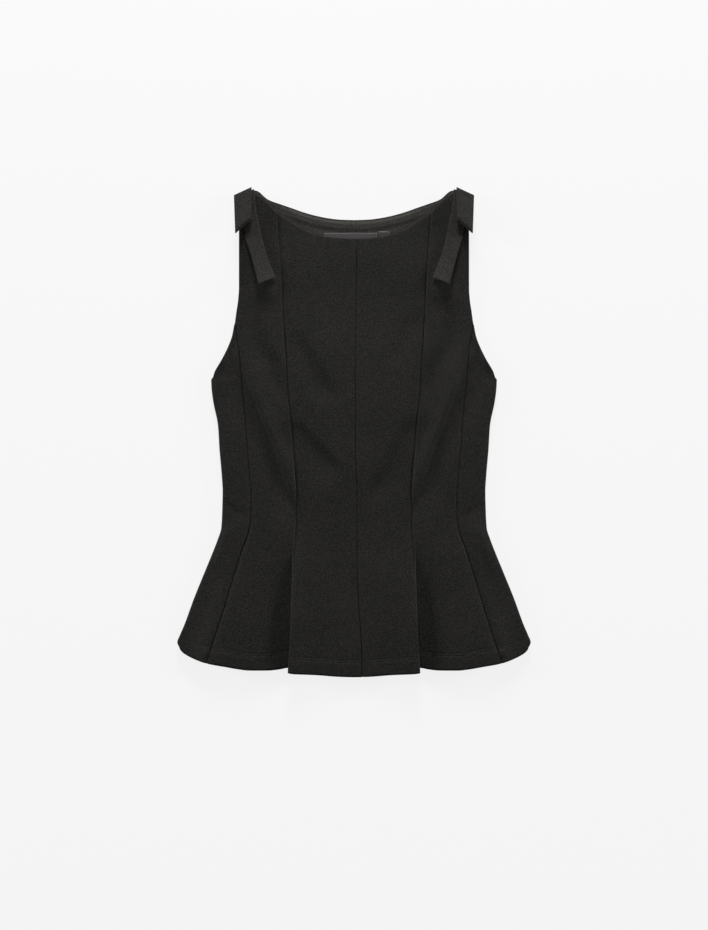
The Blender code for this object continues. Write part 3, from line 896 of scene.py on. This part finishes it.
def add_cloth(name, columns, rows, place, thickness, material, nodes, bevel=EDGE_BEVEL):
    mesh, flat, area = grid_mesh(name, columns, rows, place)
    mesh.materials.append(material)
    mesh.shade_smooth()
    piece = bpy.data.objects.new(name, mesh)
    bpy.context.scene.collection.objects.link(piece)
    wall = piece.modifiers.new("wall", "SOLIDIFY")
    wall.thickness = thickness * MM
    wall.offset = 0
    rounding = piece.modifiers.new("turned edge", "BEVEL")
    rounding.width = bevel * MM
    rounding.segments = 2
    rounding.limit_method = "ANGLE"
    rounding.angle_limit = BEVEL_ANGLE
    finish_piece(piece, nodes)
    print(name, "cut", round(flat[0] / MM), "x", round(flat[1] / MM), "mm")
    return piece


# %% [markdown]
# The ten panels share one function. It works out where each row meets the two seams, bends the rows so
# that the first one follows the hem and the last one follows the neckline or the armhole, and adds the
# creases. The front and the back differ only in their sections, their lines and their creases.

# %% The panels
FRONT_REST = 2.2
FRONT_EASE = 0.6
BACK_LIFT_SHARE = 0.4
Panel = namedtuple("Panel", "name side point inner outer low_line high_line levels creased levelled")


def panel_spot(panel):
    """A function of column and level that gives the middle of the wall, and rows and lines worked out once."""
    columns = panel.point.columns
    top = panel.levels[-1]
    low = [panel.low_line(panel.point, column) for column in range(columns)]
    high = [panel.high_line(panel.point, column) for column in range(columns)]

    def spot(column, level):
        share = column / (columns - 1)
        up_share = level / top
        height = blend(seam_height(level, panel.inner), seam_height(level, panel.outer), share)
        height += (1 - up_share) * (low[column] - blend(panel.inner.low, panel.outer.low, share))
        top_middle = blend(seam_height(top, panel.inner), seam_height(top, panel.outer), share)
        height += up_share * (high[column] - top_middle)
        out, up = panel.point(column, height)
        x = panel.side * out
        up = panel.creased(column, x, height, up) + panel.levelled(column, level, top)
        return x, height - TOP_LENGTH / 2, up

    return spot


def front_creased(column, x, height, up):
    """The height of the front's wall, eased so that a crease settles on what is below and doesn't sink in."""
    rest = FRONT_REST + over_neck(x, height) + back_relief(x, height)
    room = up + front_relief(x, height) - rest
    return rest + (room + math.hypot(room, FRONT_EASE)) / 2


def back_creased(column, x, height, up):
    return up + back_relief(x, height)


def front_levelled(column, level, top):
    return level_lift(level, top)


def back_levelled(column, level, top):
    """The back's underside stays on the surface, so its grooves and rolled edges lift a little instead."""
    return BACK_LIFT_SHARE * max(-level_lift(level, top), 0.0)


def round_the_side(front_value, back_value, column):
    """The front's value on the front half of a side panel and the back's on the other, none in the fold."""
    if fold_share(column) is not None:
        return 0.0
    if column < SIDE_PANEL_FRONT_COLUMNS:
        return front_value * (1 - ease(SIDE_PANEL_SHARES[column], 0.82, 1.0))
    return back_value


def side_creased(column, x, height, up):
    return up + round_the_side(front_creased(column, x, height, up) - up, back_relief(x, height), column)


def side_levelled(column, level, top):
    return round_the_side(level_lift(level, top), back_levelled(column, level, top), column)


panels = {}


def add_panel(panel):
    spot = panel_spot(panel)
    panels[panel.name] = (panel, spot)

    def place(column, row):
        return spot(column, panel.levels[row])

    return add_cloth(
        panel.name + "_cloth", panel.point.columns, len(panel.levels), place, CLOTH, black_crepe,
        [panel.name],
    )


side_front_points = section_table(side_front_section, fold_turn, seam_turn, -1, ARMHOLE_LEVEL)
side_panel_points = section_table(side_panel_section, seam_turn, back_turn, -1)
centre_back_points = section_table(centre_back_section, back_turn, back_turn, 1)
side_back_points = section_table(side_back_section, back_turn, back_turn, 1, ARMHOLE_LEVEL)

for side, word in ((-1, "left"), (1, "right")):
    add_panel(Panel(
        "back_centre_" + word, side, centre_back_points, CENTRE_BACK_SEAM, PRINCESS_BACK_SEAM,
        along(centre_hem, 0, BACK_HEM_RAISE), along(back_top, 580), body_levels, back_creased, back_levelled,
    ))
    add_panel(Panel(
        "back_side_" + word, side, side_back_points, PRINCESS_BACK_SEAM, SIDE_BACK_SEAM,
        along(side_hem, 10, BACK_HEM_RAISE), along(back_top, 595), body_levels, back_creased, back_levelled,
    ))
    add_panel(Panel(
        "side_panel_" + word, side, side_panel_points, SIDE_FRONT_SEAM, SIDE_BACK_SEAM,
        side_panel_hem, side_panel_top, short_levels, side_creased, side_levelled,
    ))
    centre_front_points = section_table(centre_front_section(side), seam_turn, fold_turn, -1)
    add_panel(Panel(
        "front_centre_" + word, side, centre_front_points, CENTRE_SEAM, PRINCESS_SEAM,
        along(centre_hem, 0), along(front_top, 560), body_levels, front_creased, front_levelled,
    ))
    add_panel(Panel(
        "front_side_" + word, side, side_front_points, PRINCESS_SEAM, SIDE_FRONT_SEAM,
        tucked_hem, along(front_top, 590), body_levels, front_creased, front_levelled,
    ))
print("panels:", len(panels))

# %% [markdown]
# Inside the back neckline lies a facing, cut to the same curve and turned in, so that its folded edge
# shows as a soft roll. A row of understitching under the fold keeps it from rolling out, and leaves a
# groove. It is a grid that follows the neckline.

# %% The back neck facing
FACING_DEPTH_MIDDLE = 38.0
FACING_DEPTH_END = 24.0
FACING_END = 124.0
FACING_INSET = 1.7
UNDERSTITCH_DEPTH = 6.5
ALLOWANCE_SWELL = 1.0
ALLOWANCE_END = (8.0, 14.5)
SWELL_SIDE_FALL = (70, 96)
facing_columns, facing_rows = 46, 26


def facing_lift(depth, out):
    """The fold at the top, the groove of the understitching, and the swell over the seam allowance."""
    roll = -0.25 * (1 - min(depth / 2.0, 1.0)) ** 2
    groove = -0.12 * max(0.0, 1 - ((depth - UNDERSTITCH_DEPTH) / 1.6) ** 2) ** 2
    swell = ALLOWANCE_SWELL * ease(depth, 0.5, 4.0) * (1 - ease(depth, *ALLOWANCE_END))
    return roll + groove + swell * (1 - ease(out, *SWELL_SIDE_FALL))


def add_facing(side, word):
    def place(column, row):
        share = column / (facing_columns - 1)
        out = blend(0.0, FACING_END, share)
        depth = blend(FACING_DEPTH_MIDDLE, FACING_DEPTH_END, share) * (1 - row / (facing_rows - 1)) ** 1.4
        height = back_top(out) - FACING_INSET - depth
        return side * out, height - TOP_LENGTH / 2, FACING_LAYER + facing_lift(depth, out)

    return add_cloth(
        "neck_facing_" + word + "_cloth", facing_columns, facing_rows, place, TRIM, facing_cloth_painted_highlight,
        ["neck_facing_" + word],
    )


for side, word in ((-1, "left"), (1, "right")):
    add_facing(side, word)

# %% [markdown]
# The neck label is a short length of woven satin ribbon with turned ends, left bare. Satin floats its
# threads over several others, so it has a soft shine and fine ribs across its width. The ribs of the real
# ribbon are about 0.3 mm apart, and are drawn at 1 mm so that they show. The size tab is a folded piece of
# the same ribbon beside it, drawn in a darker copy of the satin as painted shade.

# %% Woven satin and the label
LABEL_LEFT, LABEL_RIGHT = -37.6, 28.8
LABEL_LOW, LABEL_HIGH = 534.2, 554.2
TAB_LEFT, TAB_RIGHT = 30.6, 44.2
TAB_LOW, TAB_HIGH = 538.0, 556.0
RIB_SPACING = 1.0 * MM
TURNED_END = 3.0


def satin_material(name, dark, light):
    satin = new_material(name)
    place = add_node(satin, "ShaderNodeTexCoord")
    ribs = add_node(
        satin, "ShaderNodeTexWave", {"bands_direction": "Y"}, Vector=(place, "Object"),
        Scale=0.314 / RIB_SPACING, Distortion=0.6, Detail=1.0, Detail_Scale=2.0,
    )
    flecks = add_node(satin, "ShaderNodeTexNoise", Vector=(place, "Object"), Scale=1 / (0.8 * MM), Detail=2.0)
    tone = add_node(satin, "ShaderNodeMath", {"operation": "MULTIPLY_ADD"}, i0=ribs, i1=0.5, i2=flecks)
    share = add_node(satin, "ShaderNodeMapRange", i0=tone, i1=0.3, i2=1.1)
    colour = add_node(satin, "ShaderNodeMix", {"data_type": "RGBA"}, i0=share, i6=linear(dark), i7=linear(light))
    surface = add_node(satin, "ShaderNodeBump", Height=ribs, Strength=0.4, Distance=0.15 * MM)
    shader = add_node(
        satin, "ShaderNodeBsdfPrincipled", Base_Color=(colour, 2), Normal=surface, Roughness=0.45, Metallic=0.0,
        Specular_IOR_Level=0.4, Sheen_Weight=0.1, Sheen_Roughness=0.4, Sheen_Tint=linear("#a09c98"),
    )
    return finish_material(satin, shader)


label_satin = satin_material("dark_grey_woven_satin", "#2c2a2a", "#3d3b3b")
# The tab's satin is the label's in darker colours: painted shade on the folded tab.
size_tab_painted_shade = satin_material("darker_woven_tab_painted_shade", "#191818", "#262525")


def add_label():
    columns, rows = 41, 13

    def place(column, row):
        out = blend(LABEL_LEFT, LABEL_RIGHT, column / (columns - 1))
        up_share = row / (rows - 1)
        height = blend(LABEL_LOW, LABEL_HIGH, up_share)
        from_end = min(out - LABEL_LEFT, LABEL_RIGHT - out)
        bow = 0.1 * math.sin(math.pi * up_share) * math.sin(math.pi * column / (columns - 1))
        turned = 0.2 * (1 - ease(from_end, TURNED_END - 0.6, TURNED_END))
        return out, height - TOP_LENGTH / 2, LABEL_LAYER + bow + turned

    return add_cloth(
        "neck_label_ribbon", columns, rows, place, TRIM, label_satin, ["neck_label"],
        0.3,
    )


def add_tab():
    columns, rows = 9, 13

    def place(column, row):
        out = blend(TAB_LEFT, TAB_RIGHT, column / (columns - 1))
        up_share = row / (rows - 1)
        height = blend(TAB_LOW, TAB_HIGH, up_share)
        return out, height - TOP_LENGTH / 2, LABEL_LAYER + 0.5 * math.sin(math.pi * up_share)

    return add_cloth(
        "size_tab_ribbon", columns, rows, place, TRIM, size_tab_painted_shade, ["size_tab"],
        0.4,
    )


add_label()
add_tab()

# %% [markdown]
# Each shoulder carries a flat bow: a strip of the crepe sewn into a tube and pressed, with one long end
# that lies down the strap and one short loop folded over it. The strip could be a plain band, but pressed
# tubes have soft, rounded edges and a slight crown, and the long end lifts off the front and throws a
# shadow. Both are grids that follow the fold.

# %% The bows
RIBBON_STEP = CLOTH + SEAM_GAP
LOOP_RADIUS = 2.8
LOOP_SHOULDER_RADIUS = 1.1
TAIL_INNER_LIFT = 2.4
TAIL_OUTER_LIFT = 5.6
TAIL_FALL = (470, 580)
RIBBON_CROWN = 0.22
RIBBON_BEVEL = 0.5

Tail = namedtuple("Tail", "inner_out inner_height outer_out outer_height")
TAIL = (
    Tail(124.8, 609.0, 146.0, 600.6),
    Tail(123.6, 595.0, 144.6, 591.0),
    Tail(122.4, 583.0, 142.8, 578.0),
    Tail(119.0, 568.0, 139.0, 563.0),
    Tail(115.2, 549.0, 134.4, 545.0),
    Tail(110.2, 531.0, 129.1, 528.0),
    Tail(104.8, 514.5, 123.8, 508.5),
    Tail(97.9, 498.3, 118.9, 489.5),
)
Corner = namedtuple("Corner", "out height")
LOOP_TOP_INNER = Corner(127.7, TOP_LENGTH)
LOOP_TOP_OUTER = Corner(149.7, 600.8)
LOOP_LOW_INNER = Corner(128.8, 570.4)
LOOP_LOW_OUTER = Corner(147.9, 552.8)

tail_edges = [smooth_curve(list(enumerate(values))) for values in zip(*TAIL)]
tail_columns, tail_rows = 13, 45
loop_columns = 13
LOOP_LAYER_ROWS = 16
LOOP_TURN_ROWS = 10


def crown(share):
    """How much lower the edges of a pressed tube lie than its middle, 0 at the middle."""
    return -RIBBON_CROWN * abs(2 * share - 1) ** 3


def add_tail(side, word):
    def place(column, row):
        inner_out, inner_height, outer_out, outer_height = [
            edge((len(TAIL) - 1) * (1 - row / (tail_rows - 1))) for edge in tail_edges
        ]
        share = column / (tail_columns - 1)
        out = blend(inner_out, outer_out, share)
        height = blend(inner_height, outer_height, share)
        lift = blend(TAIL_INNER_LIFT, TAIL_OUTER_LIFT, share) * (1 - ease(height, *TAIL_FALL))
        up = front_height(out, height) + RIBBON_STEP + lift + crown(share)
        return side * out, height - TOP_LENGTH / 2, up + front_relief(side * out, height)

    return add_cloth(
        "bow_tail_" + word + "_ribbon", tail_columns, tail_rows, place, CLOTH, ribbon_cloth_painted_highlight,
        ["bow_tail_" + word], RIBBON_BEVEL,
    )


def add_loop(side, word):
    reach = LOOP_RADIUS + CLOTH / 2
    rows = 2 * LOOP_LAYER_ROWS + LOOP_TURN_ROWS - 1
    under = front_height(LOOP_LOW_OUTER.out, LOOP_TOP_OUTER.height) + 2 * RIBBON_STEP

    def place(column, row):
        share = column / (loop_columns - 1)
        top = Vector((blend(LOOP_TOP_INNER.out, LOOP_TOP_OUTER.out, share),
                      blend(LOOP_TOP_INNER.height, LOOP_TOP_OUTER.height, share)))
        low = Vector((blend(LOOP_LOW_INNER.out, LOOP_LOW_OUTER.out, share),
                      blend(LOOP_LOW_INNER.height, LOOP_LOW_OUTER.height, share)))
        down = (low - top).normalized()
        low -= down * reach
        if row < LOOP_LAYER_ROWS:
            spot, up = top.lerp(low, row / (LOOP_LAYER_ROWS - 1)), under
        elif row < LOOP_LAYER_ROWS + LOOP_TURN_ROWS - 1:
            angle = math.pi * (row - LOOP_LAYER_ROWS + 1) / LOOP_TURN_ROWS
            spot = low + down * LOOP_RADIUS * math.sin(angle)
            up = under + LOOP_RADIUS * (1 - math.cos(angle))
        else:
            back_up = (row - LOOP_LAYER_ROWS - LOOP_TURN_ROWS + 1) / (LOOP_LAYER_ROWS - 1)
            spot = low.lerp(top, back_up)
            up = under + 2 * blend(LOOP_RADIUS, LOOP_SHOULDER_RADIUS, back_up) + crown(share)
        return side * spot.x, spot.y - TOP_LENGTH / 2, up

    return add_cloth(
        "bow_loop_" + word + "_ribbon", loop_columns, rows, place, CLOTH, ribbon_cloth_painted_highlight,
        ["bow_loop_" + word], RIBBON_BEVEL,
    )


for side, word in ((-1, "left"), (1, "right")):
    add_tail(side, word)
    add_loop(side, word)

# %% [markdown]
# Two rows of topstitching hold the hem all the way round. Spun polyester thread has a harder twist than
# the cloth, so the stitches show as short, slightly lighter dashes in their grooves. A line would be too
# even. Each stitch is a small capsule of its own, and they are joined into one mesh for each panel.

# %% Hem stitching
STITCH_LENGTH = 2.5
STITCH_GAP = 0.7
THREAD = 0.35
STITCH_SIDES = 6


def thread_material():
    thread = new_material("black_spun_polyester_thread")
    place = add_node(thread, "ShaderNodeTexCoord")
    twist = add_node(thread, "ShaderNodeTexNoise", Vector=(place, "Object"), Scale=1 / (0.5 * MM), Detail=2.0)
    colour = add_node(
        thread, "ShaderNodeMix", {"data_type": "RGBA"}, i0=twist, i6=linear("#10100f"), i7=linear("#201f1d"),
    )
    surface = add_node(thread, "ShaderNodeBump", Height=twist, Strength=0.4, Distance=0.1 * MM)
    shader = add_node(
        thread, "ShaderNodeBsdfPrincipled", Base_Color=(colour, 2), Normal=surface, Roughness=0.6, Metallic=0.0,
        Specular_IOR_Level=0.35, Sheen_Weight=0.2, Sheen_Roughness=0.4, Sheen_Tint=linear("#a09c96"),
    )
    return finish_material(thread, shader)


sewing_thread = thread_material()


def stitch_runs(points):
    """Cuts a line of points into the two ends of each stitch."""
    lengths = [0.0]
    for a, b in zip(points, points[1:]):
        lengths.append(lengths[-1] + (b - a).length)

    def at(length):
        i = min(max(bisect_right(lengths, length) - 1, 0), len(points) - 2)
        return points[i].lerp(points[i + 1], (length - lengths[i]) / (lengths[i + 1] - lengths[i]))

    pitch = STITCH_LENGTH + STITCH_GAP
    count = int((lengths[-1] - STITCH_GAP) / pitch)
    margin = (lengths[-1] - count * pitch + STITCH_GAP) / 2
    return [(at(margin + i * pitch), at(margin + i * pitch + STITCH_LENGTH)) for i in range(count)]


def add_stitches(name, runs, nodes_under):
    shape = bmesh.new()
    for start, end in runs:
        made = bmesh.ops.create_cone(
            shape, cap_ends=True, cap_tris=False, segments=STITCH_SIDES, radius1=THREAD / 2, radius2=THREAD / 2,
            depth=1.0,
        )
        middle, direction = (start + end) / 2, end - start
        turn = direction.to_track_quat("Z", "Y").to_matrix()
        for vertex in made["verts"]:
            at_end = 1 if vertex.co.z > 0 else -1
            spot = Vector((vertex.co.x, vertex.co.y, at_end * direction.length / 2))
            vertex.co = (middle + turn @ spot) * MM
    mesh = bpy.data.meshes.new(name)
    shape.to_mesh(mesh)
    shape.free()
    mesh.materials.append(sewing_thread)
    mesh.shade_smooth()
    piece = bpy.data.objects.new(name, mesh)
    bpy.context.scene.collection.objects.link(piece)
    rounding = piece.modifiers.new("rounded ends", "BEVEL")
    rounding.width = THREAD * 0.35 * MM
    rounding.segments = 2
    rounding.limit_method = "ANGLE"
    rounding.angle_limit = BEVEL_ANGLE
    finish_piece(piece, [])
    print(name, len(runs), "stitches")
    return piece


def hem_line(panel_name, level, columns, face):
    """Points along a level of a panel, on its upper face (1) or its under face (-1)."""
    panel, spot = panels[panel_name]
    return [Vector(spot(column, level)) + Vector((0, 0, face * CLOTH / 2)) for column in columns]


def visible_columns(panel_name):
    """The columns whose stitches show: all of a panel, but for what is folded under."""
    panel, _ = panels[panel_name]
    count = panel.point.columns
    if panel_name.startswith("front_side"):
        return range(TUCK_COLUMNS + 1, count)
    if panel_name.startswith("front_centre"):
        return range(len(CENTRE_SHARES) + 1)
    if panel_name.startswith("side_panel"):
        return range(SIDE_PANEL_FRONT_COLUMNS)
    return range(count)


for panel_name in panels:
    face = -1 if panel_name.startswith("back") else 1
    runs = []
    for level in HEM_STITCH_LEVELS:
        runs += stitch_runs(hem_line(panel_name, level, visible_columns(panel_name), face))
    add_stitches("hem_stitches_" + panel_name, runs, panel_name)

# %% [markdown]
# The studio is plain: a pale floor of white acrylic, lit softly from beneath as a product table is, an even
# surround, and broad lights beyond the neck, one straight up the garment and a weaker one to each side of
# it. The table keeps the shadow under the hem faint, as in the photograph. The lights are low, so they rake
# across the creases, which is what makes a black cloth readable at all.

# %% Floor and light
FLOOR_SIZE = 60.0
FLOOR_DROP = 0.2 * MM
FLOOR_GLOW = 0.84
SURROUND_STRENGTH = 0.20
Key = namedtuple("Key", "name power size place")
KEYS = (
    Key("key_middle", 127, 0.65, (0, 2.6, 0.68)),
    Key("key_left", 235, 1.0, (-4.3, 1.3, 0.82)),
    Key("key_right", 235, 1.0, (4.3, 1.3, 0.82)),
)

floor_mesh = bpy.data.meshes.new("floor")
floor_shape = bmesh.new()
bmesh.ops.create_grid(floor_shape, x_segments=1, y_segments=1, size=FLOOR_SIZE / 2)
bmesh.ops.translate(floor_shape, verts=floor_shape.verts, vec=(0, 0, -FLOOR_DROP))
floor_shape.to_mesh(floor_mesh)
floor_shape.free()
floor = bpy.data.objects.new("floor", floor_mesh)
bpy.context.scene.collection.objects.link(floor)

acrylic = new_material("pale_light_table_acrylic")
finish_material(acrylic, add_node(
    acrylic, "ShaderNodeBsdfPrincipled", Base_Color=linear("#515151"), Roughness=0.9, Specular_IOR_Level=0.0,
    Emission_Color=linear("#ffffff"), Emission_Strength=FLOOR_GLOW,
))
floor_mesh.materials.append(acrylic)

world = bpy.data.worlds.new("surround")
world.use_nodes = True
world.node_tree.nodes["Background"].inputs["Color"].default_value = (1, 1, 1, 1)
world.node_tree.nodes["Background"].inputs["Strength"].default_value = SURROUND_STRENGTH
bpy.context.scene.world = world

for key in KEYS:
    light = bpy.data.objects.new(key.name, bpy.data.lights.new(key.name, "AREA"))
    bpy.context.scene.collection.objects.link(light)
    light.data.energy = key.power
    light.data.shape = "DISK"
    light.data.size = key.size
    light.location = key.place
    light.rotation_euler = (-Vector(key.place)).to_track_quat("-Z", "Y").to_euler()
print("lights:", len(KEYS))
